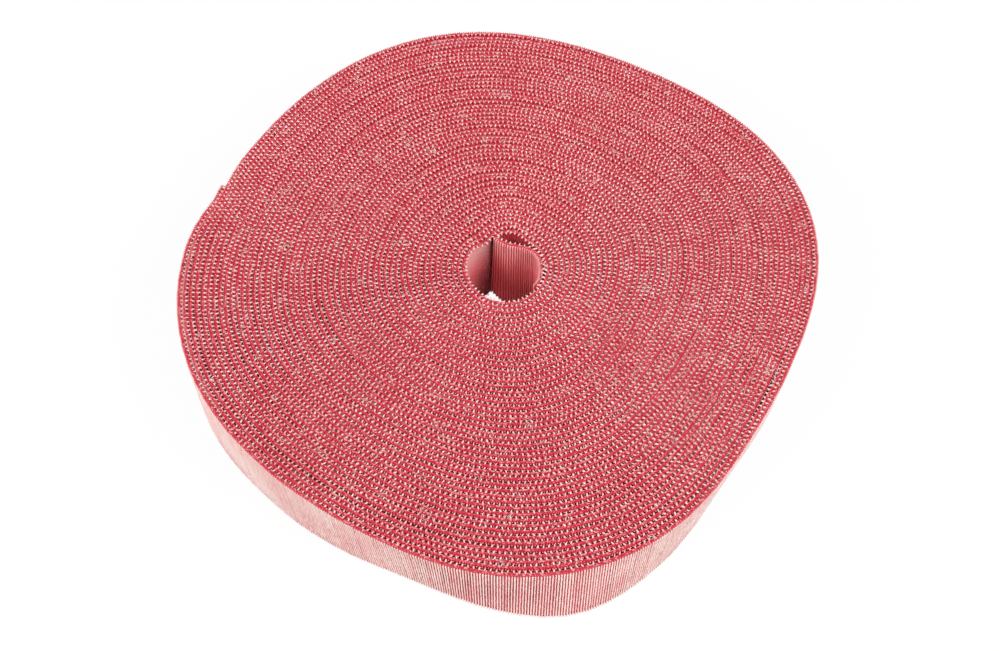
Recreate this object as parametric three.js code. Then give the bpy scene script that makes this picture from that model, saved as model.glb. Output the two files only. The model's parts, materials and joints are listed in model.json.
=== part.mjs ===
// A coreless roll of back-to-back hook and loop tape, lying flat on its edges.
// A hook ply and a loop ply are bonded together and wound as one tape, hook face outwards.
// The tape begins at a tail folded into the hole, winds outwards clockwise seen from above,
// and finishes in a free end that peels off the roll in three short links.
// Plan angles are in degrees about the hole, from +X towards +Y.
import * as THREE from "three";

// Tape, in millimetres
const TAPE_WIDTH = 25;
const PLY_DEPTH = 0.5;
const CLEARANCE = 0.42;

// Winding: each loop stands for about two turns of the real tape
const HOLE_RADIUS = 9.6;
const ROLL_RADIUS = 81.4;
const LOOPS = 24;
const LOOP_STEPS = 22;
const START_ANGLE = 97;
const END_ANGLE = 162.5;

// Slump of the hole and of the rim: lobes round the roll, their depth, and where one of them points
const HOLE_SLUMP = [
  { lobes: 1, depth: 0.5, towards: 97 },
  { lobes: 2, depth: 0.4, towards: 97 },
];
const RIM_SLUMP = [
  { lobes: 1, depth: 2.77, towards: 120.7 },
  { lobes: 2, depth: 0.83, towards: 79 },
  { lobes: 3, depth: 1.09, towards: 27.7 },
  { lobes: 4, depth: 2.47, towards: 14.4 },
];

// Free outer end
const END_LINKS = 3;
const LINK_ANGLE = 16.4;
const LINK_STEPS = 2;

// Folded inner tail
const FOLD_INNER_RADIUS = 0.5;
const FOLD_STEPS = 4;
const TAIL_END_ANGLE = -30;
const TAIL_LEAVES_WALL_ANGLE = 14;
const TAIL_POCKET_DEPTH = 1.9;
const TAIL_POCKET_SKEW = 1.3;
const TAIL_STEPS = 14;

// Values worked out from the sizes above
const TAPE_DEPTH = 2 * PLY_DEPTH + CLEARANCE;
const LOOP_DEPTH = (ROLL_RADIUS - HOLE_RADIUS) / (LOOPS - 0.5) - CLEARANCE;
const LAST_LOOP = THREE.MathUtils.euclideanModulo(START_ANGLE - END_ANGLE, 360) / 360;
const END_TURN = LOOPS - 1 + LAST_LOOP;
const LINK_TURN = LINK_ANGLE / 360;
const ROOT_TURN = END_TURN - END_LINKS * LINK_TURN;

const PLIES = {
  hook: new THREE.MeshStandardMaterial({ color: 0xeec6bf, roughness: 0.9, metalness: 0 }),
  loop: new THREE.MeshStandardMaterial({ color: 0xc8384c, roughness: 0.95, metalness: 0 }),
};

const radians = THREE.MathUtils.degToRad;

// Unit vector at a plan angle
function direction(angle) {
  return new THREE.Vector2(Math.cos(radians(angle)), Math.sin(radians(angle)));
}

function slumpAt(lobeList, angle) {
  return lobeList.reduce(
    (sum, { lobes, depth, towards }) => sum + depth * Math.cos(lobes * radians(angle - towards)),
    0,
  );
}

// Point on the plan at an even radius, once the roll has slumped from its hole to its rim
function slumpedPoint(evenRadius, angle) {
  const share = (evenRadius - HOLE_RADIUS) / (ROLL_RADIUS - HOLE_RADIUS);
  const shift = THREE.MathUtils.lerp(slumpAt(HOLE_SLUMP, angle), slumpAt(RIM_SLUMP, angle), share);
  return direction(angle).multiplyScalar(evenRadius + shift);
}

function angleAtTurn(turn) {
  return START_ANGLE - 360 * turn;
}

// Depth of the wound tape: a bare tape at both ends of the winding, a full loop from one turn in
function depthAtTurn(turn) {
  const swelling = THREE.MathUtils.smoothstep(turn, 0, 1);
  const thinning = THREE.MathUtils.smoothstep(ROOT_TURN - turn, 0, 1);
  return THREE.MathUtils.lerp(TAPE_DEPTH, LOOP_DEPTH, Math.min(swelling, thinning));
}

// Even radius of the tape's loop face: every loop lies on the loop one turn below it
function loopFaceRadius(turn) {
  const firstTurn = THREE.MathUtils.euclideanModulo(turn, 1);
  let radius = HOLE_RADIUS + (TAPE_DEPTH + CLEARANCE) * firstTurn;
  for (let below = 0; below < Math.floor(turn); below += 1) {
    radius += depthAtTurn(firstTurn + below) + CLEARANCE;
  }
  return radius;
}

// Where a ply starts and stops, counted from the tape's loop face
function plySpan(ply, tapeDepth) {
  const plyDepth = (tapeDepth - CLEARANCE) / 2;
  return ply === "loop" ? [0, plyDepth] : [plyDepth + CLEARANCE, tapeDepth];
}

// Station of a ply on the winding: its two edges on the plan, the one nearer the loop face first
function windingStation(ply, turn) {
  return plySpan(ply, depthAtTurn(turn)).map((depth) =>
    slumpedPoint(loopFaceRadius(turn) + depth, angleAtTurn(turn)),
  );
}

// The tail folds back into the hole round a centre just inside the first loop
const foldOut = direction(START_ANGLE);
const foldSide = direction(START_ANGLE + 90);
const foldCentre = slumpedPoint(HOLE_RADIUS, START_ANGLE).addScaledVector(foldOut, -FOLD_INNER_RADIUS);

// Station on the fold, turned from its outer strand; the tail's half sits one clearance further in
function foldStation(ply, foldAngle, inwardShift) {
  const spoke = foldOut
    .clone()
    .multiplyScalar(Math.cos(radians(foldAngle)))
    .addScaledVector(foldSide, Math.sin(radians(foldAngle)));
  return plySpan(ply, TAPE_DEPTH).map((depth) =>
    foldCentre
      .clone()
      .addScaledVector(foldOut, -inwardShift)
      .addScaledVector(spoke, FOLD_INNER_RADIUS + depth),
  );
}

// Station on the tail: it lies along the wall of the hole, then bows off it towards the fold
function tailStation(ply, angle) {
  const wall = loopFaceRadius((START_ANGLE - angle) / 360) - CLEARANCE;
  const span = START_ANGLE - TAIL_LEAVES_WALL_ANGLE;
  const progress = THREE.MathUtils.clamp((angle - TAIL_LEAVES_WALL_ANGLE) / span, 0, 1);
  const towardsFold = 2 * FOLD_INNER_RADIUS * THREE.MathUtils.smoothstep(progress, 0, 1);
  const pocket = TAIL_POCKET_DEPTH * Math.sin(Math.PI * progress ** TAIL_POCKET_SKEW) ** 2;
  return plySpan(ply, TAPE_DEPTH).map((depth) =>
    slumpedPoint(wall - towardsFold - pocket - depth, angle),
  );
}

function evenSteps(from, to, steps) {
  return Array.from({ length: steps + 1 }, (_, step) => THREE.MathUtils.lerp(from, to, step / steps));
}

// Part of a turn that half a clearance takes up on the rim
const halfGapTurn = CLEARANCE / 2 / (2 * Math.PI * ROLL_RADIUS);

function windingStations(ply) {
  const lastTurn = ROOT_TURN - halfGapTurn;
  const wholeSteps = Math.round(lastTurn * LOOP_STEPS);
  const fold = evenSteps(90, 0, FOLD_STEPS)
    .slice(0, -1)
    .map((foldAngle) => foldStation(ply, foldAngle, 0));
  const loops = evenSteps(0, lastTurn, wholeSteps).map((turn) => windingStation(ply, turn));
  return [...fold, ...loops];
}

function linkStations(ply, link) {
  const from = ROOT_TURN + link * LINK_TURN + halfGapTurn;
  const isLast = link === END_LINKS - 1;
  const to = ROOT_TURN + (link + 1) * LINK_TURN - (isLast ? 0 : halfGapTurn);
  return evenSteps(from, to, LINK_STEPS).map((turn) => windingStation(ply, turn));
}

function tailStations(ply) {
  const strand = evenSteps(TAIL_END_ANGLE, START_ANGLE, TAIL_STEPS)
    .slice(0, -1)
    .map((angle) => tailStation(ply, angle));
  const fold = evenSteps(180, 90, FOLD_STEPS).map((foldAngle) => foldStation(ply, foldAngle, CLEARANCE));
  return [...strand, ...fold];
}

// Closed strip, square at both ends, standing on its lower edge along a list of stations
function stripGeometry(stations) {
  const corners = stations.flatMap(([near, far]) => [
    [near.x, near.y, 0],
    [near.x, near.y, TAPE_WIDTH],
    [far.x, far.y, TAPE_WIDTH],
    [far.x, far.y, 0],
  ]);
  const triangles = [];
  const addQuad = (a, b, c, d) => triangles.push(a, b, c, a, c, d);
  for (let station = 0; station < stations.length - 1; station += 1) {
    const here = 4 * station;
    const next = here + 4;
    for (let side = 0; side < 4; side += 1) {
      const after = (side + 1) % 4;
      addQuad(here + side, next + side, next + after, here + after);
    }
  }
  const last = corners.length - 4;
  addQuad(0, 1, 2, 3);
  addQuad(last + 3, last + 2, last + 1, last);
  const geometry = new THREE.BufferGeometry();
  geometry.setAttribute("position", new THREE.Float32BufferAttribute(corners.flat(), 3));
  geometry.setIndex(triangles);
  geometry.computeVertexNormals();
  return geometry;
}

// Least gap between the outer face of one loop and the inner face of another, on the plan's points
function leastSelfGap(stations) {
  let least = Infinity;
  stations.forEach(([, far], index) => {
    for (let other = index + LOOP_STEPS / 2; other < stations.length - 1; other += 1) {
      const from = new THREE.Vector3(...stations[other][0], 0);
      const to = new THREE.Vector3(...stations[other + 1][0], 0);
      const point = new THREE.Vector3(...far, 0);
      const nearest = new THREE.Line3(from, to).closestPointToPoint(point, true, new THREE.Vector3());
      least = Math.min(least, nearest.distanceTo(point));
    }
  });
  return least;
}

const roll = new THREE.Group();

function addStrip(name, ply, stations) {
  const mesh = new THREE.Mesh(stripGeometry(stations), PLIES[ply]);
  mesh.name = name;
  roll.add(mesh);
}

for (const ply of Object.keys(PLIES)) {
  const stations = windingStations(ply);
  addStrip(`${ply}_ply_winding`, ply, stations);
  console.log(`${ply}_ply_winding: least gap to itself ${leastSelfGap(stations).toFixed(2)} mm`);
  for (let link = 0; link < END_LINKS; link += 1) {
    addStrip(`${ply}_ply_end_${link + 1}`, ply, linkStations(ply, link));
  }
  addStrip(`${ply}_ply_tail`, ply, tailStations(ply));
}

// The origin is the centre of the roll's box, on the surface it lies on
const box = new THREE.Box3().setFromObject(roll);
const middle = box.getCenter(new THREE.Vector3());
roll.position.set(-middle.x, -middle.y, 0);

// Upright fold lines: the tail's at the outside of its fold, each link's on the tape's hook face
const tailLine = foldCentre
  .clone()
  .addScaledVector(foldOut, -CLEARANCE / 2)
  .addScaledVector(foldSide, FOLD_INNER_RADIUS + TAPE_DEPTH);
const linkLines = evenSteps(0, END_LINKS - 1, END_LINKS - 1).map(
  (link) => windingStation("hook", ROOT_TURN + link * LINK_TURN)[1],
);
roll.userData.foldLines = { tail: tailLine, links: linkLines };

export default roll;
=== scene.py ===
"""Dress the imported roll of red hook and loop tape.

One woven tape starts as a tail folded into the hole, winds outwards through about 51 turns, and finishes in
a free end. Each long edge of the tape has two salmon cords, with a crimson flank on the hook side. Pale hook
ribs stand on the hook side, and pale stitches of the loop pile show on the loop side.

Sizes are in metres, and places on the weave map in millimetres. Plan angles are in degrees about the axis
of the hole, from +X towards +Y.
"""

import json
import logging
import math
from dataclasses import dataclass, replace
from enum import Enum, IntEnum

import bpy
import numpy as np
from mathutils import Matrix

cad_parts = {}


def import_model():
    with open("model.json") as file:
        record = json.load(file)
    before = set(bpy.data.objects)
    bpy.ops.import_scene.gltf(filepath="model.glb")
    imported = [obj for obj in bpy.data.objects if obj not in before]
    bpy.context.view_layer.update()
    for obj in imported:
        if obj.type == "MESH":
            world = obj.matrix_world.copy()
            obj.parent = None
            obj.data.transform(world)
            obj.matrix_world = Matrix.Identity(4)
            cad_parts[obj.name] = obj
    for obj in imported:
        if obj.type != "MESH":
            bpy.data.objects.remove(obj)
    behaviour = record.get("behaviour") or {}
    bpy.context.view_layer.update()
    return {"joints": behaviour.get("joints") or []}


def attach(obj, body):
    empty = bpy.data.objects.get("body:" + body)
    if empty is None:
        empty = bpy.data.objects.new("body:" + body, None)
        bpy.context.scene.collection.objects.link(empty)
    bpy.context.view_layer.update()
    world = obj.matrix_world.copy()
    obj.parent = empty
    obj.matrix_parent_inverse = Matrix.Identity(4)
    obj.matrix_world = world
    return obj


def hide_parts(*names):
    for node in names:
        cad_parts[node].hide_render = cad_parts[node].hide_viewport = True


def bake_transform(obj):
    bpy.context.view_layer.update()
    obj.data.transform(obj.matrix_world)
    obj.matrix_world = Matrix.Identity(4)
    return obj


MM = 0.001
SEED = 20
WEAVE_MAP = "Weave"
BAKE_MAP = "OFBake"
WHITE = (255, 255, 255)
LOG = logging.getLogger("tape_roll")

Array = np.ndarray
Colour = tuple[int, int, int]
Face = tuple[int, ...]
Inputs = dict[str | int, object]
Material = bpy.types.Material
Node = bpy.types.Node
Piece = bpy.types.Object
Point = tuple[float, float, float]
Socket = bpy.types.NodeSocket
Paint = tuple[Socket, Socket]
Span = tuple[float, float]
Tree = bpy.types.NodeTree


class Edge(Enum):
    """A long edge of the tape."""

    UPPER = "upper"
    LOWER = "lower"


class Band(IntEnum):
    """A part of the tape's ground, as its place in the list of finishes."""

    CRIMSON_CORD = 0
    SALMON_CORD = 1
    HOOK_GROUND = 2
    LOOP_PILE = 3
    # The loop side in the hole: a paler copy of the loop pile, with painted light and painted shade.
    OPEN_PILE = 4


class Stream(IntEnum):
    """A stream of random numbers, or the first of the streams that a part of the tape takes."""

    WOBBLE = 1
    LIFT = 2
    JITTER = 3
    OUTER_RIBS = 10
    WINDING_EDGES = 11
    FREE_END = 30
    TAIL = 50
    FIBRES = 60


def source(stream: int) -> np.random.Generator:
    """Return the seeded source of a stream of random numbers."""
    return np.random.default_rng([SEED, int(stream)])


def linear(colour: Colour) -> tuple[float, ...]:
    """Return the linear colour, with a full alpha, that a shader takes for a display colour."""
    parts = [part / 255 for part in colour]
    return (*(part / 12.92 if part <= 0.04045 else ((part + 0.055) / 1.055) ** 2.4 for part in parts), 1.0)


def ease(value: Array, low: float, high: float) -> Array:
    """Return a smooth rise from 0 at low to 1 at high."""
    share = np.clip((value - low) / (high - low), 0.0, 1.0)
    return share * share * (3.0 - 2.0 * share)


def smooth_curve(knots: Array, steps: int) -> Array:
    """Draw a smooth curve through all knots but the first and the last, which only steer its ends.

    Args:
        knots: Points on the plan, one to a row.
        steps: Points to each span.

    Returns:
        Points of the curve, without the last knot that it goes through.
    """
    before, here, after, beyond = knots[:-3], knots[1:-2], knots[2:-1], knots[3:]
    share = np.linspace(0.0, 1.0, steps, endpoint=False)[:, None, None]
    slope_here = 0.5 * (after - before)
    slope_after = 0.5 * (beyond - here)
    rise = after - here
    bend = 3.0 * rise - 2.0 * slope_here - slope_after
    twist = slope_here + slope_after - 2.0 * rise
    curve = here + share * (slope_here + share * bend + share * share * twist)
    return curve.transpose(1, 0, 2).reshape(-1, 2)


def tube(levels: int, corners: int) -> list[Face]:
    """List the side faces of a stack of rings.

    Args:
        levels: Number of rings.
        corners: Points of each ring.

    Returns:
        Point numbers of the faces, ring by ring.
    """
    faces = []
    for here in range(0, (levels - 1) * corners, corners):
        over = here + corners
        for corner in range(corners):
            after = (corner + 1) % corners
            faces.append((here + corner, over + corner, over + after, here + after))
    return faces


def copy_faces(faces: list[Face], count: int, size: int) -> list[Array]:
    """Repeat the faces of a shape for all its copies.

    Args:
        faces: Point numbers of one copy's faces.
        count: Number of copies.
        size: Points of one copy.

    Returns:
        Point numbers of all faces, in one array for each number of corners.
    """
    first = np.arange(count)[:, None, None] * size
    by_corners: dict[int, list[Face]] = {}
    for face in faces:
        by_corners.setdefault(len(face), []).append(face)
    return [(np.array(group)[None] + first).reshape(-1, corners) for corners, group in by_corners.items()]


def map_cells(local: Array, count: int) -> Array:
    """Give each copy of a shape its own cell of a map.

    Args:
        local: Map points of one copy, from 0 to 1.
        count: Number of copies.

    Returns:
        Map points, in the order of the copies' points.
    """
    margin = 0.1
    rows = math.ceil(math.sqrt(count))
    number = np.arange(count)
    corner = np.column_stack((number % rows, number // rows))
    inside = margin + (1.0 - 2.0 * margin) * local
    return ((corner[:, None, :] + inside[None]) / rows).reshape(-1, 2)


@dataclass(frozen=True)
class Lobe:
    """A wave of a slumped outline: waves round the roll, depth, and where one crest points."""

    waves: int
    depth: float
    towards: float

    def shift(self, angle: Array) -> Array:
        """Return the outward shift at plan angles."""
        return self.depth * np.cos(self.waves * np.radians(angle - self.towards))


@dataclass(frozen=True)
class Dent:
    """A local push of the tape outwards, or inwards where its depth is negative."""

    depth: float
    towards: float
    spread: float

    def shift(self, angle: Array) -> Array:
        """Return the outward shift at plan angles."""
        aside = (angle - self.towards + 180.0) % 360.0 - 180.0
        return self.depth * np.exp(-((aside / self.spread) ** 2))


@dataclass(frozen=True)
class Slack:
    """A loose stretch, where the outer turns stand off the turn below them and leave a dark gap."""

    dent: Dent
    turns_outside: int

    def first_turn(self, end_turn: float, start_angle: float) -> float:
        """Return where the turns outside the gap start, on the other side of a winding's hole."""
        opposite = (start_angle - self.dent.towards - 180.0) % 360.0 / 360.0
        return math.floor(end_turn - self.turns_outside) + opposite


def total_shift(waves: tuple[Lobe | Dent, ...], angle: Array) -> Array:
    """Return the outward shift that several lobes or dents add up to."""
    return sum(wave.shift(angle) for wave in waves)


@dataclass(frozen=True)
class TapeSizes:
    """Sizes of the woven tape across its section."""

    width: float = 25.0 * MM
    depth: float = 1.40 * MM
    ground_half: float = 0.37 * MM
    cord_radius: float = 0.185 * MM
    cord_valley: float = 0.15 * MM
    cord_shoulder: float = 0.28 * MM
    flank_aside: float = 0.1295 * MM
    flank_sink: float = 0.0755 * MM
    rib_pitch: float = 0.65 * MM
    stitch_pitch: float = 1.30 * MM

    def edge_profile(self) -> Array:
        """Draw the upper edge, with its two cords, from the loop side to the hook side.

        Returns:
            Nine points, as offset to the hook side and height over the edge.
        """
        hook_half = np.array([
            (0.0, -self.cord_valley),
            (self.cord_radius - self.flank_aside, -self.flank_sink),
            (self.cord_radius, 0.0),
            (self.cord_radius + self.flank_aside, -self.flank_sink),
            (self.ground_half, -self.cord_shoulder),
        ])
        return np.vstack((hook_half[:0:-1] * np.array([-1.0, 1.0]), hook_half))

    @property
    def edge_length(self) -> float:
        """Return the length of an edge's section from one face to the other."""
        return float(np.linalg.norm(np.diff(self.edge_profile(), axis=0), axis=1).sum())

    @property
    def face_length(self) -> float:
        """Return the width of a face between the two edges."""
        return self.width - 2.0 * self.cord_shoulder


@dataclass(frozen=True)
class RollPlan:
    """Where the tape lies on the plan: tail, winding and free end."""

    tape: TapeSizes
    hole_x: float = 2.02 * MM
    hole_y: float = -1.21 * MM
    hole_radius: float = 9.4 * MM
    rim_radius: float = 81.38 * MM
    start_angle: float = 97.0
    end_angle: float = 160.6
    root_angle: float = 211.7
    whole_turns: int = 50
    steps_per_turn: int = 100
    shortest_step: float = 0.05 * MM
    link_angle: float = 16.4
    links: int = 3
    join_turn: float = 0.14
    tail_steps: int = 6
    fold_knot: int = 12
    fold_turns: Span = (0.70, 0.92)
    fold_fade: float = 9.0
    # Turns between which the pile in the hole is painted dark towards the fold: painted shade.
    shade_turns: Span = (0.880, 0.972)
    end_fade: float = 4.0
    waver_count: int = 6
    waver_range: Span = (0.4, 4.2)
    wobble: float = 0.022 * MM
    lift: float = 0.08 * MM
    lift_level: float = 0.24 * MM
    lift_turns: Span = (0.3, 2.0)
    jitter: float = 0.05 * MM
    hole_lobes: tuple[Lobe, ...] = (Lobe(1, 0.35 * MM, 10.0),)
    rim_lobes: tuple[Lobe, ...] = (
        Lobe(1, 2.77 * MM, 120.7),
        Lobe(2, 0.83 * MM, 79.0),
        Lobe(3, 1.09 * MM, 27.7),
        Lobe(4, 2.47 * MM, 14.4),
    )
    fold_dents: tuple[Dent, ...] = (Dent(2.2 * MM, 85.0, 23.0), Dent(-1.65 * MM, 123.0, 17.0))
    end_dents: tuple[Dent, ...] = (
        Dent(-1.15 * MM, 164.3, 3.8),
        Dent(-0.55 * MM, 159.5, 3.0),
        Dent(0.35 * MM, 174.0, 5.0),
    )
    slacks: tuple[Slack, ...] = (
        Slack(Dent(0.34 * MM, 230.0, 13.0), 3),
        Slack(Dent(0.28 * MM, 181.0, 8.0), 1),
        Slack(Dent(0.24 * MM, 331.0, 9.0), 2),
        Slack(Dent(0.16 * MM, 300.0, 10.0), 4),
    )
    leans: tuple[Dent, ...] = (
        Dent(1.1 * MM, 202.0, 14.0),
        Dent(-1.9 * MM, 253.0, 13.0),
        Dent(2.2 * MM, 281.0, 11.0),
        Dent(-2.0 * MM, 316.0, 17.0),
    )
    lean_power: float = 3.0
    fold_lean: Span = (-0.9 * MM, -0.5 * MM)
    fold_lean_spread: float = 3.0 * MM
    tail_lean: Span = (0.2 * MM, -3.2 * MM)
    tail_lean_spread: float = 13.0 * MM
    tail_knots_mm: tuple[Span, ...] = (
        (7.60, -5.50), (8.75, -3.70), (9.30, -1.20), (9.30, 1.20), (8.85, 3.40), (7.85, 5.20),
        (6.15, 6.35), (4.20, 6.95), (2.20, 7.40), (0.40, 7.90), (-1.00, 8.60), (-2.10, 9.40),
        (-2.60, 10.30), (-2.00, 11.20), (-0.70, 11.65), (1.00, 11.95), (2.60, 11.75), (4.30, 10.70),
    )

    @property
    def end_turn(self) -> float:
        """Return the turn at which the tape ends."""
        return self.whole_turns + (self.start_angle - self.end_angle) % 360.0 / 360.0

    @property
    def pitch(self) -> float:
        """Return how much the radius grows in one turn."""
        return (self.rim_radius - self.hole_radius) / self.end_turn

    def link_turn(self, link: int) -> float:
        """Return the turn at which a link starts, counted from 0, or the tape's end past the last link."""
        free_angle = self.root_angle - link * self.link_angle - self.end_angle
        return self.end_turn - free_angle / 360.0 if link < self.links else self.end_turn

    def angle(self, turn: Array) -> Array:
        """Return the plan angle at turns of the winding."""
        return self.start_angle - 360.0 * turn

    def spoke(self, turn: Array) -> Array:
        """Return directions on the plan from the axis of the hole to turns of the winding."""
        angle = np.radians(self.angle(turn))
        return np.column_stack((np.cos(angle), np.sin(angle)))

    def waver(self, turn: Array, size: float, stream: Stream) -> Array:
        """Work out a slow, even unevenness along the winding.

        Args:
            turn: Turns from the start of the winding.
            size: Size of each of the waves that add up.
            stream: The stream of random waves.

        Returns:
            Shifts about zero.
        """
        random = source(stream)
        waves = random.uniform(*self.waver_range, self.waver_count)
        phases = random.uniform(0.0, math.tau, self.waver_count)
        return size * np.sin(math.tau * np.outer(turn, waves) + phases).sum(axis=1)

    def radius(self, turn: Array) -> Array:
        """Work out the radius of the tape's middle.

        Args:
            turn: Turns from the start of the winding.

        Returns:
            Radii about the axis of the hole.
        """
        angle = self.angle(turn)
        share = turn / self.end_turn
        radius = self.hole_radius + self.pitch * turn + 0.5 * self.tape.depth
        radius = radius + (1.0 - share) * total_shift(self.hole_lobes, angle)
        radius += share * total_shift(self.rim_lobes, angle)
        near_fold = ease(turn, *self.fold_turns) * np.exp(-np.maximum(turn - 1.0, 0.0) / self.fold_fade)
        radius += near_fold * total_shift(self.fold_dents, angle)
        near_end = np.exp((turn - self.end_turn) / self.end_fade)
        radius += near_end * total_shift(self.end_dents, angle)
        for slack in self.slacks:
            outside = turn > slack.first_turn(self.end_turn, self.start_angle)
            radius += np.where(outside, slack.dent.shift(angle), 0.0)
        return radius + self.waver(turn, self.wobble, Stream.WOBBLE)

    def winding_lean(self, turn: Array) -> Array:
        """Return how far on the plan the lower edge lies outside the upper edge."""
        size = (turn / self.end_turn) ** self.lean_power * total_shift(self.leans, self.angle(turn))
        return size[:, None] * self.spoke(turn)

    def winding_lift(self, turn: Array) -> Array:
        """Return how far the tape stands off the floor, which it doesn't at the start of the winding."""
        lift = self.lift_level + self.waver(turn, self.lift, Stream.LIFT)
        return np.clip(lift, 0.0, None) * ease(turn, *self.lift_turns)


class TapePath:
    """The tape's middle on the plan from the tail's end to the free end, measured along the tape."""

    def __init__(self, plan: RollPlan) -> None:
        """Draw the path.

        Args:
            plan: Where the tape lies.
        """
        self.plan = plan
        steps = round((plan.end_turn - plan.join_turn) * plan.steps_per_turn)
        self.turns = np.linspace(plan.join_turn, plan.end_turn, steps + 1)
        jitter = source(Stream.JITTER).uniform(-plan.jitter, plan.jitter, (steps + 1, 1))
        winding = (plan.radius(self.turns)[:, None] + jitter) * plan.spoke(self.turns)
        knots = np.array(plan.tail_knots_mm) * MM
        lead_in = 2.0 * knots[:1] - knots[1:2]
        tail = smooth_curve(np.vstack((lead_in, knots, winding[:2])), plan.tail_steps)
        centre = np.vstack((tail, winding))
        stride = np.linalg.norm(np.diff(centre, axis=0), axis=1)
        self.along = np.concatenate(([0.0], np.cumsum(stride)))
        self.winding_start = len(tail)
        tangent = np.gradient(centre, self.along, axis=0)
        self.tangent = tangent / np.linalg.norm(tangent, axis=1)[:, None]
        self.centre = centre + np.array([plan.hole_x, plan.hole_y])
        self.fold_along = float(self.along[plan.fold_knot * plan.tail_steps])
        self.lean = np.vstack((self.tail_lean(), plan.winding_lean(self.turns)))
        self.lift = np.concatenate((np.zeros(self.winding_start), plan.winding_lift(self.turns)))

    def tail_lean(self) -> Array:
        """Work out how far the tail's lower edge lies beside its upper edge.

        Returns:
            Shifts on the plan, one to a row.
        """
        plan = self.plan
        from_fold = self.fold_along - self.along[: self.winding_start, None]
        near_fold = np.exp(-((from_fold / plan.fold_lean_spread) ** 2))
        on_tail = np.exp(-((from_fold / plan.tail_lean_spread) ** 2)) * (from_fold > 0.0)
        return near_fold * np.array(plan.fold_lean) + (1.0 - near_fold) * on_tail * np.array(plan.tail_lean)

    @property
    def length(self) -> float:
        """Return the whole length of the tape."""
        return float(self.along[-1])

    def at_turn(self, turn: float) -> float:
        """Return the length of tape from the tail's end to a turn of the winding."""
        return float(np.interp(turn, self.turns, self.along[self.winding_start :]))

    def stations(self, span: Span) -> Array:
        """Return the rising lengths at which a ground strip over a span has a section."""
        first, last = span[0] + self.plan.shortest_step, span[1] - self.plan.shortest_step
        return np.array([span[0], *self.along[(self.along > first) & (self.along < last)], span[1]])

    def place(self, along: Array, ahead: Array, side: Array, height: Array) -> Array:
        """Put points of the tape in the part's frame.

        Args:
            along: Lengths along the tape, one to a section.
            ahead: Shifts along the tape, one row to a section.
            side: Offsets to the hook side, one row to a section.
            height: Heights over the tape's lower edge, one row to a section.

        Returns:
            Points, as sections by points by three.
        """
        def follow(values: Array) -> Array:
            """Return values along the path, read at the sections."""
            return np.column_stack([np.interp(along, self.along, column) for column in values.T])[:, None, :]

        tangent = follow(self.tangent)
        hook_side = np.stack((-tangent[..., 1], tangent[..., 0]), axis=2)
        lowness = 1.0 - height / self.plan.tape.width
        plan = follow(self.centre) + ahead[..., None] * tangent + side[..., None] * hook_side
        plan += lowness[..., None] * follow(self.lean)
        lift = np.interp(along, self.along, self.lift)
        return np.concatenate((plan, (height + lift[:, None])[..., None]), axis=2)

    def middle(self, along: Array, height: float) -> Array:
        """Return points of the tape's middle at a height over its lower edge, one to a row."""
        zero = np.zeros((len(along), 1))
        return self.place(along, zero, zero, zero + height)[:, 0]


@dataclass
class MeshPlan:
    """Points, faces and maps of one piece before its mesh is made."""

    points: Array
    faces: list[Array]
    maps: dict[str, Array]
    bands: Array | None = None
    smooth_corners: int = 4

    def build(self, name: str, finishes: list[Material]) -> Piece:
        """Make the mesh and its object.

        Args:
            name: Name of the piece.
            finishes: Materials, in the order that bands counts them.

        Returns:
            The new object, in the scene and at rest.
        """
        mesh = bpy.data.meshes.new(name)
        corners = np.concatenate([group.ravel() for group in self.faces]).astype(np.int32)
        sizes = np.concatenate([np.full(len(group), group.shape[1]) for group in self.faces])
        starts = np.concatenate(([0], np.cumsum(sizes)[:-1])).astype(np.int32)
        mesh.vertices.add(len(self.points))
        mesh.vertices.foreach_set("co", self.points.astype(np.float32).ravel())
        mesh.loops.add(len(corners))
        mesh.loops.foreach_set("vertex_index", corners)
        mesh.polygons.add(len(sizes))
        mesh.polygons.foreach_set("loop_start", starts)
        for finish in finishes:
            mesh.materials.append(finish)
        if self.bands is not None:
            mesh.polygons.foreach_set("material_index", self.bands.astype(np.int32))
        for map_name, values in self.maps.items():
            on_corners = values if len(values) == len(corners) else values[corners]
            layer = mesh.uv_layers.new(name=map_name)
            layer.data.foreach_set("uv", on_corners.astype(np.float32).ravel())
        mesh.polygons.foreach_set("use_smooth", sizes <= self.smooth_corners)
        mesh.update(calc_edges=True)
        mesh.validate()
        piece = bpy.data.objects.new(name, mesh)
        bpy.context.scene.collection.objects.link(piece)
        LOG.info("%s: %d points, %d faces", name, len(self.points), len(sizes))
        return piece


@dataclass(frozen=True)
class Scatter:
    """How far copies of a shape may differ: in size, point by point, in lean, in heading and in side."""

    unevenness: float
    roughness: float
    sway: float = 0.0
    spin: float = 0.0
    drift: float = 0.0
    step_share: float = 0.4
    rise: float = 0.3 * MM


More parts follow.
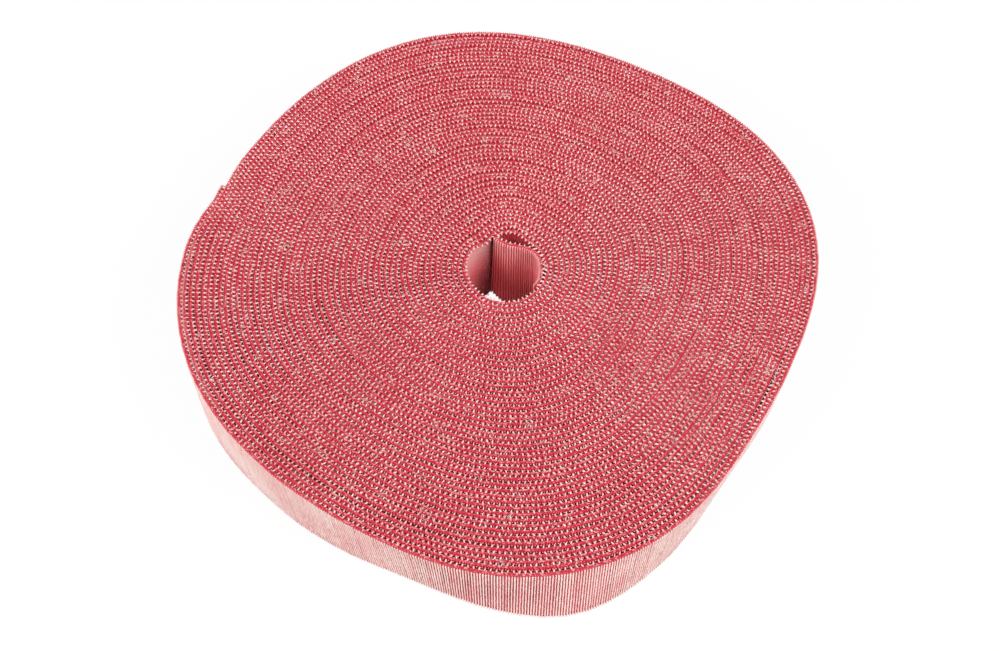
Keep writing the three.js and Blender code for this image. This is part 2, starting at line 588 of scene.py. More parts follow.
@dataclass(frozen=True)
class Motif:
    """A small closed shape that repeats along the tape, with its points as ahead, side and height."""

    points: Array
    relief: Array
    faces: list[Face]
    scatter: Scatter
    map_slant: float = 0.3

    def flipped(self, width: float) -> "Motif":
        """Return the motif for the other edge of a tape of that width."""
        points = self.points * np.array([1.0, 1.0, -1.0]) + np.array([0.0, 0.0, width])
        return replace(self, points=points, faces=[face[::-1] for face in self.faces])

    def repeat(self, path: TapePath, along: Array, random: np.random.Generator) -> MeshPlan:
        """Lay copies of the motif along the tape.

        Args:
            path: The tape's path.
            along: Where the copies stand.
            random: Source of their unevenness.

        Returns:
            All copies as one piece's plan.
        """
        count, size = len(along), len(self.points)
        scatter = self.scatter

        def spread(limit: float, columns: int) -> Array:
            """Return random shifts of every copy, up to a limit either way."""
            return random.uniform(-limit, limit, (count, columns))

        span = np.ptp(self.points, axis=0)
        middle = self.points.mean(axis=0)
        reach = (self.points - middle)[None]
        stretch = 1.0 + spread(scatter.unevenness, 1)
        turned = np.radians(spread(scatter.spin, 1))
        ahead = reach[..., 0] * np.cos(turned) - reach[..., 1] * np.sin(turned)
        side = reach[..., 0] * np.sin(turned) + reach[..., 1] * np.cos(turned)
        ahead = middle[0] + ahead * stretch
        step = scatter.step_share * scatter.unevenness * span[0]
        ahead += spread(step, 1) + spread(scatter.roughness, size)
        ahead += spread(scatter.sway, 1) * reach[..., 2] / span[2]
        side += middle[1] + spread(scatter.roughness, size) + spread(scatter.drift, 1)
        height = self.points[None, :, 2] + spread(scatter.unevenness * scatter.rise, 1)
        points = path.place(along, ahead, side, height).reshape(-1, 3)
        tone = np.repeat(random.uniform(0.0, 1.0, count), size)
        weave = np.column_stack((tone, np.tile(self.relief, count)))
        flat = self.points[:, [0, 2]] + self.points[:, [1, 1]] * np.array([0.0, self.map_slant])
        local = (flat - flat.min(axis=0)) / np.ptp(flat, axis=0)
        maps = {WEAVE_MAP: weave, BAKE_MAP: map_cells(local, count)}
        return MeshPlan(points, copy_faces(self.faces, count, size), maps)


@dataclass(frozen=True)
class HookRib:
    """Sizes of one pale rib of hooks, which runs across the tape."""

    foot: float = 0.18 * MM
    crest: float = 0.11 * MM
    foot_side: float = 0.32 * MM
    crest_side: float = 0.79 * MM
    edge_gap: float = 0.11 * MM
    taper: float = 0.11 * MM
    tip_share: float = 0.70
    # The tops of the rib ends get less relief, so they are painted red: painted shade in the gaps between
    # turns.
    tip_relief: float = 0.66
    whole_tip_relief: float = -0.25
    # The back crest corner gets less relief, so each rib's back flank is painted less pale: painted shade on
    # the side away from the key lamp.
    shaded_back_relief: float = 0.85
    end_length: float = 2.2 * MM
    rows: int = 20
    scatter: Scatter = Scatter(unevenness=0.18, roughness=0.05 * MM)
    end_sway: float = 0.16 * MM

    def shaft(self, heights: Array, sway: float, rooted: bool) -> Motif:
        """Stack sections into a closed rib, whose top is drawn in.

        Args:
            heights: Rising heights of the sections.
            sway: How far a tip may lean along the tape.
            rooted: Whether the lower end tapers into the ground, or else is drawn in as the top is.

        Returns:
            The rib.
        """
        ahead = np.array([-self.foot, -self.crest, self.crest, self.foot])
        rise = np.array([0.0, 1.0, 1.0, 0.0]) * (self.crest_side - self.foot_side)
        crest_relief = np.array([0.0, self.shaded_back_relief, 1.0, 0.0])
        tip_relief = self.tip_relief if rooted else self.whole_tip_relief
        corners = len(ahead)
        last = len(heights) - 1
        points = []
        relief = []
        for level, height in enumerate(heights):
            at_tip = level == last or (level == 0 and not rooted)
            side = self.foot_side + (self.tip_share if at_tip else 1.0) * rise
            points.append(np.column_stack((ahead, side, np.full(corners, height))))
            relief.append((tip_relief if at_tip else 1.0) * crest_relief)
        top = last * corners
        faces = tube(len(heights), corners)
        faces.append(tuple(top + corner for corner in reversed(range(corners))))
        if rooted:
            points.append(np.array([[0.0, 0.0, heights[-1] - self.end_length]]))
            relief.append(np.zeros(1))
            faces += [(corner, (corner + 1) % corners, top + corners) for corner in range(corners)]
        else:
            faces.append(tuple(range(corners)))
        return Motif(np.vstack(points), np.concatenate(relief), faces, replace(self.scatter, sway=sway))

    def upper_end(self, width: float) -> Motif:
        """Return the end of the rib at the tape's upper edge, for turns whose faces are hidden."""
        top = width - self.edge_gap
        return self.shaft(np.array([top - self.taper, top]), self.end_sway, True)

    def whole(self, width: float) -> Motif:
        """Return the rib over the whole width of the tape."""
        inner = np.linspace(self.edge_gap + self.taper, width - self.edge_gap - self.taper, self.rows)
        return self.shaft(np.array([self.edge_gap, *inner, width - self.edge_gap]), 0.0, False)


@dataclass(frozen=True)
class LoopStitch:
    """Sizes of one pale oval stitch beside the tape's edge, where the weft turns back on the loop side."""

    half_length: float = 0.55 * MM
    half_width: float = 0.23 * MM
    half_height: float = 0.26 * MM
    middle_side: float = -0.55 * MM
    middle_depth: float = 0.17 * MM
    dive: float = 0.06 * MM
    ring_share: float = 0.5
    # Each stitch is painted paler on top than on its flanks, as painted light, and darker at its loop end,
    # as painted shade.
    top_relief: float = 1.0
    flank_relief: float = 0.8
    hook_end_relief: float = 0.75
    shaded_loop_end_share: float = 0.4
    corners: int = 5
    scatter: Scatter = Scatter(0.22, 0.04 * MM, 0.10 * MM, 30.0, 0.06 * MM)

    def upper(self, width: float) -> Motif:
        """Shape the stitch at the tape's upper edge.

        Args:
            width: Width of the tape.

        Returns:
            A closed oval, which runs from the hook side to the loop side and dips on its way.
        """
        around = np.arange(self.corners) * math.tau / self.corners
        girth = math.sqrt(1.0 - self.ring_share**2)
        ring = np.column_stack((np.cos(around), np.sin(around))) * girth
        back = np.column_stack((np.full(self.corners, -self.ring_share), ring))
        front = back * np.array([-1.0, 1.0, 1.0])
        oval = np.vstack(([[-1.0, 0.0, 0.0]], back, front, [[1.0, 0.0, 0.0]]))
        length, ahead, rise = (oval * np.array([self.half_length, self.half_width, self.half_height])).T
        height = width - self.middle_depth + rise - self.dive * oval[:, 0]
        points = np.column_stack((ahead, self.middle_side - length, height))
        faces: list[Face] = []
        tip = len(oval) - 1
        for corner in range(self.corners):
            here = 1 + corner
            after = 1 + (corner + 1) % self.corners
            faces.append((0, after, here))
            faces.append((here, after, after + self.corners, here + self.corners))
            faces.append((tip, here + self.corners, after + self.corners))
        # Painted light on the top of the oval, and painted shade at its loop end.
        glow = self.flank_relief + (self.top_relief - self.flank_relief) * np.sin(around)
        relief = np.concatenate(([self.hook_end_relief], glow, self.shaded_loop_end_share * glow, [0.0]))
        return Motif(points, relief, faces, self.scatter)


class NodeSketch:
    """Places and links the nodes of one tree."""

    def __init__(self, tree: Tree) -> None:
        """Empty the tree, and keep its nodes and links at hand."""
        tree.nodes.clear()
        self.nodes, self.links = tree.nodes, tree.links

    def add(self, kind: str, inputs: Inputs | None = None, **settings: object) -> Node:
        """Add a node, set its properties and feed its inputs.

        Args:
            kind: Blender's name for the kind of node.
            inputs: Outputs to link or plain values to set, by the name or the place of the input.
            settings: Properties of the node.

        Returns:
            The new node.
        """
        node = self.nodes.new(kind)
        for key, value in settings.items():
            setattr(node, key, value)
        for key, value in (inputs or {}).items():
            if isinstance(value, Socket):
                self.links.new(value, node.inputs[key])
            else:
                node.inputs[key].default_value = value
        return node

    def math(self, operation: str, *values: object) -> Socket:
        """Return the output of a Math node."""
        return self.add("ShaderNodeMath", dict(enumerate(values)), operation=operation).outputs[0]

    def mix(self, share: object, first: object, second: object) -> Socket:
        """Return a mix of two colours, by the share of the second."""
        inputs = {"Factor": share, "A": first, "B": second}
        return self.add("ShaderNodeMix", inputs, data_type="RGBA").outputs["Result"]

    def ramp(self, value: Socket, low: float, high: float) -> Socket:
        """Return a smooth rise of a value from 0 at low to 1 at high."""
        inputs = {"Value": value, "From Min": low, "From Max": high}
        return self.add("ShaderNodeMapRange", inputs, interpolation_type="SMOOTHSTEP").outputs["Result"]

    def group(self, tree: Tree, **inputs: object) -> Node:
        """Return a new node of a shared effect, with its inputs fed."""
        return self.add("ShaderNodeGroup", inputs, node_tree=tree)


@dataclass(frozen=True)
class Noise:
    """A noise cut to patches: its scale, and the levels between which a patch sets in."""

    scale: float
    low: float
    high: float
    detail: float = 3.0


class YarnGroups:
    """Effects that several finishes share, as shader node groups."""

    def __init__(self) -> None:
        """Build each group once."""
        self.twist = self.build_twist()
        self.tone = self.build_tone({
            "Patch": Noise(60.0, 0.35, 0.65),
            "Fuzz": Noise(1900.0, 0.50, 0.66),
            "Pit": Noise(1300.0, 0.52, 0.68),
        })
        self.rim = self.build_rim()

    @staticmethod
    def new_group(name: str, inputs: list[str], outputs: list[str]) -> tuple[Tree, NodeSketch]:
        """Start a node group of plain values.

        Args:
            name: Name of the group.
            inputs: Names of the inputs.
            outputs: Names of the outputs.

        Returns:
            The group's tree and its sketch.
        """
        tree = bpy.data.node_groups.new(name, "ShaderNodeTree")
        for way, labels in (("INPUT", inputs), ("OUTPUT", outputs)):
            for label in labels:
                tree.interface.new_socket(name=label, in_out=way, socket_type="NodeSocketFloat")
        return tree, NodeSketch(tree)

    def build_twist(self) -> Tree:
        """Build the slanted strands of a twisted cord.

        Returns:
            A group that turns places along and across the cord into strands from 0 to 1.
        """
        tree, sketch = self.new_group("Twisted strands", ["Along", "Across", "Pitch", "Slant"], ["Strand"])
        given = sketch.add("NodeGroupInput").outputs
        slanted = sketch.math("MULTIPLY", given["Across"], given["Slant"])
        turn = sketch.math("DIVIDE", sketch.math("ADD", given["Along"], slanted), given["Pitch"])
        wave = sketch.math("COSINE", sketch.math("MULTIPLY", turn, math.tau))
        sketch.add("NodeGroupOutput", {"Strand": sketch.math("MULTIPLY_ADD", wave, 0.5, 0.5)})
        return tree

    def build_tone(self, noises: dict[str, Noise]) -> Tree:
        """Build the patches of tone, the fuzz of loose fibre and the dark pits between yarns, which are
        painted shade placed at random.

        Args:
            noises: The noise of each effect.

        Returns:
            A group that gives the effects as values from 0 to 1.
        """
        tree, sketch = self.new_group("Yarn tone", [], list(noises))
        place = sketch.add("ShaderNodeTexCoord").outputs["Object"]
        tones = {}
        for label, noise in noises.items():
            inputs = {"Vector": place, "Scale": noise.scale, "Detail": noise.detail}
            level = sketch.add("ShaderNodeTexNoise", inputs).outputs["Fac"]
            tones[label] = sketch.ramp(level, noise.low, noise.high)
        sketch.add("NodeGroupOutput", tones)
        return tree

    def build_rim(self) -> Tree:
        """Build the rim of a face, beside the cords of both edges: the mask of the painted shade in the gaps
        between turns and of the painted light at the top of the hole.

        Returns:
            A group that turns a place across the face into 1 at both rims and 0 between them.
        """
        tree, sketch = self.new_group("Face rim", ["Across", "Start", "Length", "Depth"], ["Rim"])
        given = sketch.add("NodeGroupInput").outputs
        from_start = sketch.math("SUBTRACT", given["Across"], given["Start"])
        from_stop = sketch.math("SUBTRACT", given["Length"], from_start)
        inset = sketch.math("DIVIDE", sketch.math("MINIMUM", from_start, from_stop), given["Depth"])
        sketch.add("NodeGroupOutput", {"Rim": sketch.math("SUBTRACT", 1.0, sketch.ramp(inset, 0.0, 1.0))})
        return tree


@dataclass(frozen=True)
class Weave:
    """What a finish draws with: its sketch, the shared effects and both values of the weave map."""

    sketch: NodeSketch
    groups: YarnGroups
    first: Socket
    second: Socket


@dataclass(frozen=True)
class YarnFinish:
    """A yarn's colours and surface, under patches of tone, dark pits of painted shade and pale fuzz."""

    name: str
    colour: Colour
    shade: Colour
    fuzz_share: float
    pit_share: float = 0.0
    patch_share: float = 0.22
    fuzz_colour: Colour = (255, 240, 234)
    pit_shade_colour: Colour = (140, 0, 28)
    roughness: float = 0.85
    specular: float = 0.12
    sheen: float = 0.03
    sheen_roughness: float = 0.5
    bump: float = 0.05 * MM
    bump_strength: float = 0.8
    fuzz_height: float = 0.5

    def pattern(self, weave: Weave) -> Paint:
        """Return the yarn's own colour and relief, which each kind of finish draws in its own way."""
        raise NotImplementedError

    def build(self, groups: YarnGroups) -> Material:
        """Make the material.

        Args:
            groups: The shared effects.

        Returns:
            The material.
        """
        material = bpy.data.materials.new(self.name)
        material.use_nodes = True
        material.diffuse_color = linear(self.colour)
        sketch = NodeSketch(material.node_tree)
        place = sketch.add("ShaderNodeUVMap", uv_map=WEAVE_MAP).outputs["UV"]
        parts = sketch.add("ShaderNodeSeparateXYZ", {"Vector": place}).outputs
        colour, relief = self.pattern(Weave(sketch, groups, parts["X"], parts["Y"]))
        tone = sketch.group(groups.tone).outputs
        layers = {
            "Patch": (self.patch_share, self.shade),
            # Painted shade in random pits between yarns.
            "Pit": (self.pit_share, self.pit_shade_colour),
            "Fuzz": (self.fuzz_share, self.fuzz_colour),
        }
        for label, (share, tint) in layers.items():
            colour = sketch.mix(sketch.math("MULTIPLY", tone[label], share), colour, linear(tint))
        height = sketch.math("MULTIPLY_ADD", tone["Fuzz"], self.fuzz_height, relief)
        inputs = {"Strength": self.bump_strength, "Distance": self.bump, "Height": height}
        bump = sketch.add("ShaderNodeBump", inputs)
        shader = sketch.add("ShaderNodeBsdfPrincipled", {
            "Base Color": colour,
            "Normal": bump.outputs["Normal"],
            "Roughness": self.roughness,
            "Specular IOR Level": self.specular,
            "Sheen Weight": self.sheen,
            "Sheen Roughness": self.sheen_roughness,
        })
        sketch.add("ShaderNodeOutputMaterial", {"Surface": shader.outputs["BSDF"]})
        return material


@dataclass(frozen=True)
class CordFinish(YarnFinish):
    """Finish of a twisted cord along the tape's edge."""

    strand_pitch: float = 0.65
    strand_share: float = 0.6
    slant: float = 1.0

    def pattern(self, weave: Weave) -> Paint:
        """Draw the strands, with painted shade in the hollows between them.

        Args:
            weave: What to draw with, and the places along and across the tape.

        Returns:
            The strands' colour and relief.
        """
        sketch = weave.sketch
        sizes = {"Pitch": self.strand_pitch, "Slant": self.slant}
        twist = sketch.group(weave.groups.twist, Along=weave.first, Across=weave.second, **sizes)
        strand = twist.outputs["Strand"]
        # Painted shade: the hollows between the strands take the shade colour.
        painted_hollow_shade = sketch.math("MULTIPLY", sketch.math("SUBTRACT", 1.0, strand), self.strand_share)
        return sketch.mix(painted_hollow_shade, linear(self.colour), linear(self.shade)), strand


@dataclass(frozen=True, kw_only=True)
class FaceFinish(CordFinish):
    """Finish of a woven face, which takes a painted colour beside its edges (painted shade in the gaps
    between turns, painted light at the top of the hole) and may take painted shade along the tape towards
    the fold.
    """

    # Rim colour: painted shade in the gaps between turns on the hook ground and the loop pile, painted light
    # at the top of the hole on the open pile.
    rim_light_and_shade_colour: Colour
    rim_depth: float
    face_start: float
    face_length: float
    # Where along the tape, in mm, the face is painted dark towards the fold: painted shade in the crevice,
    # which starts further off lower down the face by the slant.
    fold_shade_span: Span | None = None
    fold_shade_colour: Colour = (112, 6, 22)
    fold_shade_slant: float = 0.13

    def pattern(self, weave: Weave) -> Paint:
        """Draw the strands, paint light and shade at the rims, and paint shade along the tape towards the
        fold.

        Args:
            weave: What to draw with, and the places along and across the tape.

        Returns:
            The face's colour and relief.
        """
        colour, strand = super().pattern(weave)
        sketch = weave.sketch
        sizes = {"Start": self.face_start, "Length": self.face_length, "Depth": self.rim_depth}
        rim = sketch.group(weave.groups.rim, Across=weave.second, **sizes).outputs["Rim"]
        # Painted light and shade at the rims, by face.
        colour = sketch.mix(rim, colour, linear(self.rim_light_and_shade_colour))
        # Painted shade towards the fold, which starts further off lower down the face.
        if self.fold_shade_span:
            below = sketch.math("SUBTRACT", self.face_start + self.face_length, weave.second)
            place = sketch.math("MULTIPLY_ADD", below, self.fold_shade_slant, weave.first)
            colour = sketch.mix(sketch.ramp(place, *self.fold_shade_span), colour, linear(self.fold_shade_colour))
        return colour, strand


@dataclass(frozen=True)
class ReliefFinish(YarnFinish):
    """Finish of ribs, stitches and fibres, which pale from the foot to the crest."""

    crest: Span = (0.1, 0.85)
    tone_share: float = 0.35
    tip: Span = (-0.02, -0.20)
    tip_colour: Colour = (196, 16, 44)
    # Heights over which the colour is painted paler towards the upper edge, as painted light falling into
    # the hole.
    rim: Span = (14.0 * MM, 25.0 * MM)
    rim_share: float = 0.0
    rim_light_and_shade_colour: Colour = (255, 196, 196)

    def pattern(self, weave: Weave) -> Paint:
        """Pale the colour by relief, paint light towards the tape's upper edge, and redden the tips of whole
        ribs.

        Args:
            weave: What to draw with, and each copy's tone and relief.

        Returns:
            The colour and the relief.
        """
        sketch, relief = weave.sketch, weave.second
        dull = sketch.math("MULTIPLY_ADD", weave.first, -self.tone_share, 1.0)
        crest = sketch.math("MULTIPLY", sketch.ramp(relief, *self.crest), dull)
        colour = sketch.mix(crest, linear(self.shade), linear(self.colour))
        colour = sketch.mix(sketch.ramp(relief, *self.tip), colour, linear(self.tip_colour))
        # Painted light: paler towards the tape's upper edge.
        if self.rim_share:
            place = sketch.add("ShaderNodeTexCoord").outputs["Object"]
            height = sketch.add("ShaderNodeSeparateXYZ", {"Vector": place}).outputs["Z"]
            rim = sketch.math("MULTIPLY", sketch.ramp(height, *self.rim), self.rim_share)
            colour = sketch.mix(rim, colour, linear(self.rim_light_and_shade_colour))
        return colour, relief


class Finishes:
    """All finishes of the tape, built once."""

    def __init__(self, path: TapePath) -> None:
        """Build the node groups and the materials.

        Args:
            path: The tape's path, which says where faces and turns lie on the weave map.
        """
        tape = path.plan.tape
        edge, face, weave = tape.edge_length / MM, tape.face_length / MM, tape.stitch_pitch / MM
        # Where the pile in the hole is painted dark towards the fold, as painted shade.
        shade_from, shade_to = (path.at_turn(turn) / MM for turn in path.plan.shade_turns)
        pile = {"sheen": 0.08, "bump": 0.12 * MM, "strand_share": 0.2}
        bands = {
            Band.CRIMSON_CORD: CordFinish(
                "crimson_cord", (217, 50, 74), (180, 18, 48), 0.37, 0.40, strand_pitch=weave
            ),
            Band.SALMON_CORD: CordFinish(
                "salmon_cord", (213, 66, 82), (187, 33, 51), 0.50, 0.26, strand_pitch=weave, strand_share=0.5
            ),
            # Hook ground and loop pile: their rims are painted a deeper red, as painted shade in the gaps
            # between the turns.
            Band.HOOK_GROUND: FaceFinish(
                "hook_ground", (242, 130, 136), (218, 102, 110), 0.06, strand_pitch=0.325, slant=0.0,
                rim_light_and_shade_colour=(232, 84, 104), rim_depth=2.0, face_start=2.0 * edge + face, face_length=face,
            ),
            Band.LOOP_PILE: FaceFinish(
                "loop_pile", (232, 92, 102), (206, 58, 72), 0.16, **pile,
                rim_light_and_shade_colour=(204, 18, 48), rim_depth=5.0, face_start=edge, face_length=face,
            ),
            # The loop side in the hole: a paler copy of the loop pile, as painted light; its upper rim is
            # painted paler over 13 mm, a painted highlight where light falls in, and it is painted dark
            # towards the fold, as painted shade in the crevice.
            Band.OPEN_PILE: FaceFinish(
                "open_loop_pile_light_and_shade", (250, 128, 135), (222, 74, 87), 0.16, **pile,
                rim_light_and_shade_colour=(255, 190, 189), rim_depth=13.0, face_start=edge - face, face_length=2.0 * face,
                fold_shade_span=(shade_from, shade_to),
            ),
        }
        groups = YarnGroups()
        self.ground = [bands[band].build(groups) for band in Band]
        self.ribs = ReliefFinish(
            "hook_ribs", (255, 236, 229), (233, 122, 131), 0.10, crest=(0.0, 0.6), tone_share=0.20
        ).build(groups)
        # The rib ends in the gaps between turns are a deeper red copy of the hook ribs, with red tops:
        # painted shade in the gaps.
        self.rib_ends = ReliefFinish(
            "shaded_hook_rib_ends", (255, 230, 224), (226, 44, 70), 0.06, crest=(0.45, 0.95), tone_share=0.3
        ).build(groups)
        # The tail's ribs in the hole are a redder copy of the hook ribs, as painted shade and painted red
        # light bounced inside the hole, and are painted paler towards the upper edge, as painted light.
        self.tail_ribs = ReliefFinish(
            "tail_ribs", (255, 160, 163), (238, 54, 72), 0.06, tone_share=0.16, rim_share=0.7
        ).build(groups)
        self.stitches = ReliefFinish(
            "loop_stitches", (255, 248, 243), (236, 104, 120), 0.08, crest=(0.0, 0.75), tone_share=0.34
        ).build(groups)
        self.fibres = ReliefFinish("stray_fibre", (255, 246, 242), (250, 222, 218), 0.06).build(groups)


@dataclass(frozen=True)
class Trim:
    """A motif that repeats along the tape, with its pitch and its finish."""

    motif: Motif
    pitch: float
    finish: Material


@dataclass
class TapeMaker:
    """Weaves lengths of the tape: ground strips, and the ribs and stitches on them."""

    path: TapePath
    finishes: Finishes
    crimson_flank: int = 2
    bake_edge_share: float = 0.34
    bake_margin: float = 0.08
    bake_row: float = 0.26
    bake_inset: float = 0.02
    bake_cap: float = 0.001

    def __post_init__(self) -> None:
        """Shape the ribs and stitches once."""
        tape = self.path.plan.tape
        rib = HookRib()
        self.tape = tape
        self.ribs = Trim(rib.whole(tape.width), tape.rib_pitch, self.finishes.ribs)
        self.rib_ends = Trim(rib.upper_end(tape.width), tape.rib_pitch, self.finishes.rib_ends)
        self.tail_ribs = replace(self.ribs, finish=self.finishes.tail_ribs)
        self.stitches = Trim(LoopStitch().upper(tape.width), tape.stitch_pitch, self.finishes.stitches)

    def ground(self, name: str, span: Span, open_span: Span = (0.0, 0.0)) -> Piece:
        """Weave a ground strip: two faces and the cords of both edges.

        Args:
            name: Name of the piece.
            span: Lengths at which the strip starts and stops.
            open_span: Lengths between which the loop side shows in the hole and takes the paler finish with
                painted light and painted shade.

        Returns:
            The strip, closed at both ends.
        """
        upper = self.tape.edge_profile()
        lower = upper[::-1] * np.array([1.0, -1.0])
        section = np.vstack((lower, upper + np.array([0.0, self.tape.width])))
        along = self.path.stations(span)
        count, size = len(along), len(section)
        side, height = (np.tile(column, (count, 1)) for column in section.T)
        points = self.path.place(along, np.zeros((count, size)), side, height).reshape(-1, 3)
        here = np.arange(size)
        after = np.roll(here, -1)
        ring = np.stack((here, here + size, after + size, after), axis=1)
        quads = np.arange(count - 1)[:, None, None] * size + ring
        caps = np.array([here, (count - 1) * size + here[::-1]])
        edge_parts = len(upper) - 1
        flank = [Band.CRIMSON_CORD] * self.crimson_flank
        cords = [Band.SALMON_CORD] * (edge_parts - self.crimson_flank)
        bands = np.tile([*flank, *cords, Band.LOOP_PILE, *cords, *flank, Band.HOOK_GROUND], (count - 1, 1))
        lies_open = (along[:-1] >= open_span[0]) & (along[1:] <= open_span[1])
        bands[lies_open, edge_parts] = Band.OPEN_PILE
        all_bands = np.concatenate((bands.ravel(), [Band.CRIMSON_CORD] * len(caps)))
        plan = MeshPlan(points, [quads.reshape(-1, 4), caps], self.ground_maps(along, section), all_bands)
        return plan.build(name, self.finishes.ground)

    def ground_maps(self, along: Array, section: Array) -> dict[str, Array]:
        """Lay out the weave map and the bake map of a ground strip.

        Args:
            along: Lengths of the strip's sections.
            section: Offsets and heights of a section's points.

        Returns:
            Both maps, one row to a corner of a face.
        """
        size = len(section)
        closed = np.vstack((section, section[:1]))
        across = np.concatenate(([0.0], np.cumsum(np.linalg.norm(np.diff(closed, axis=0), axis=1)))) / MM
        edge_parts = size // 2 - 1
        shares = [self.bake_edge_share / edge_parts] * edge_parts + [0.5 - self.bake_edge_share]
        bake_across = np.concatenate(([0.0], np.cumsum(shares + shares)))
        bake_across = self.bake_margin + (1.0 - 2.0 * self.bake_margin) * bake_across
        length = along[-1] - along[0]
        row_length = min(length, self.bake_row)
        rows = max(1, math.ceil(length / row_length))
        middle = 0.5 * (along[1:] + along[:-1]) - along[0]
        row = np.minimum((middle / row_length).astype(int), rows - 1)
        weave = np.zeros((len(along) - 1, size, 4, 2))
        bake = np.zeros_like(weave)
        for corner, (step, rise) in enumerate(((0, 0), (1, 0), (1, 1), (0, 1))):
            place = along[step : len(along) - 1 + step]
            parts = slice(rise, size + rise)
            weave[:, :, corner, 0] = place[:, None] / MM
            weave[:, :, corner, 1] = across[parts]
            bake[:, :, corner, 0] = ((place - along[0] - row * row_length) / row_length)[:, None]
            bake[:, :, corner, 1] = (row[:, None] + bake_across[parts]) / rows
        inset = self.bake_inset
        bake[..., 0] = inset + (1.0 - 2.0 * inset) * np.clip(bake[..., 0], -inset, 1.0 + inset)
        cap_weave = np.column_stack((np.repeat(along[[0, -1]] / MM, size), np.tile(across[:-1], 2)))
        cap_bake = np.full(cap_weave.shape, self.bake_cap)
        return {
            WEAVE_MAP: np.vstack((weave.reshape(-1, 2), cap_weave)),
            BAKE_MAP: np.vstack((bake.reshape(-1, 2), cap_bake)),
        }

    def lay(self, name: str, trim: Trim, span: Span, stream: int, edge: Edge = Edge.UPPER) -> Piece:
        """Repeat ribs or stitches along a length of the tape.

        Args:
            name: Name of the piece.
            trim: What repeats, shaped for the upper edge or the whole width.
            span: Lengths at which the copies start and stop.
            stream: Number of the stream of random unevenness.
            edge: The edge that they stand on.

        Returns:
            All copies as one piece.
        """
        motif = trim.motif if edge is Edge.UPPER else trim.motif.flipped(self.tape.width)
        first, last = (math.ceil(length / trim.pitch - 0.5) for length in span)
        along = (np.arange(first, last) + 0.5) * trim.pitch
        return motif.repeat(self.path, along, source(stream)).build(name, [trim.finish])

    def strip(self, kind: str, number: str, span: Span, ribs: Trim, stream: int) -> list[Piece]:
        """Weave a length of tape whose hook side shows: ground, whole ribs, and stitches at both edges.

        Args:
            kind: How the names of the pieces start.
            number: How they finish.
            span: Lengths at which the strip starts and stops.
            ribs: The ribs with their finish.
            stream: Number of the ribs' stream of random unevenness, before those of the stitches.

        Returns:
            The ground strip, and then the pieces on it.
        """
        pieces = [self.ground(f"{kind}_tape{number}", span)]
        pieces.append(self.lay(f"{kind}_ribs{number}", ribs, span, stream))
        for step, edge in enumerate(Edge, start=1):
            name = f"{kind}_stitches_{edge.value}{number}"
            pieces.append(self.lay(name, self.stitches, span, stream + step, edge))
        return pieces


@dataclass
class Winding:
    """The wound turns of the roll, from the fold in the hole to the root of the free end."""

    maker: TapeMaker
    outer_from_turn: float = 36.0
    # Turns where the loop side in the hole takes the finish with painted light and painted shade.
    open_turns: Span = (0.42, 1.0)

    def build(self) -> None:
        """Build the winding, attach its pieces to the roll and hide the plies that it replaces."""
        maker = self.maker
        path = maker.path
        root_turn = path.plan.link_turn(0)
        start, half, root = path.fold_along, path.at_turn(self.outer_from_turn), path.at_turn(root_turn)
        hidden_stop = path.at_turn(root_turn - 1.0)
        open_from, open_to = (path.at_turn(turn) for turn in self.open_turns)
        tape = maker.ground("winding_tape", (start, root), (open_from, open_to))
        trims = [maker.lay("outer_turn_ribs", maker.ribs, (hidden_stop, root), Stream.OUTER_RIBS)]
        stream = int(Stream.WINDING_EDGES)
        for edge in Edge:
            for part, (first, last) in {"inner": (start, half), "outer": (half, root)}.items():
                name = f"{edge.value}_{part}"
                rib_span = (first, min(last, hidden_stop))
                trims.append(maker.lay(f"rib_ends_{name}", maker.rib_ends, rib_span, stream, edge))
                trims.append(maker.lay(f"stitches_{name}", maker.stitches, (first, last), stream + 1, edge))
                stream += 2
        for piece in [tape, *trims]:
            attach(piece, "roll")
        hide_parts("hook_ply_winding", "loop_ply_winding")


@dataclass
class FreeEnd:
    """The free outer end of the tape, in three links."""

    maker: TapeMaker
    hinges: dict[str, Point]
    turn_leads: tuple[float, ...] = (0.4, 0.8, 0.8)
    streams_per_link: int = 4

    def build(self) -> None:
        """Build the links, each over its length of tape up to the next link or the tape's end, and hide the
        plies that they replace.
        """
        maker = self.maker
        path = maker.path
        plan = path.plan
        lines = [self.hinges[f"end_peel_{number}"] for number in range(1, plan.links + 1)]
        tip = path.middle(np.array([path.length]), 0.0)[0]
        lines.append((float(tip[0]), float(tip[1]), lines[0][2]))
        for link, lead in enumerate(self.turn_leads):
            number = link + 1
            start, stop = (path.at_turn(plan.link_turn(end)) for end in (link, number))
            stream = Stream.FREE_END + self.streams_per_link * link
            tape, *trims = maker.strip("end", f"_{number}", (start, stop), maker.ribs, stream)
            for piece in [tape, *trims]:
                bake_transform(piece)
            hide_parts(f"hook_ply_end_{number}", f"loop_ply_end_{number}")


@dataclass
class InnerTail:
    """The inner end of the tape, folded back into the hole."""

    maker: TapeMaker
    hinge: Point
    bend_length: float = 5.0 * MM

    def build(self) -> None:
        """Build the tail and hide the plies that it replaces."""
        maker = self.maker
        path = maker.path
        stop = path.fold_along
        tape, *trims = maker.strip("tail", "", (0.0, stop), maker.tail_ribs, Stream.TAIL)
        bent = path.middle(np.array([stop - self.bend_length]), path.plan.tape.width)[0]
        for piece in [tape, *trims]:
            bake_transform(piece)
        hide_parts("hook_ply_tail", "loop_ply_tail")


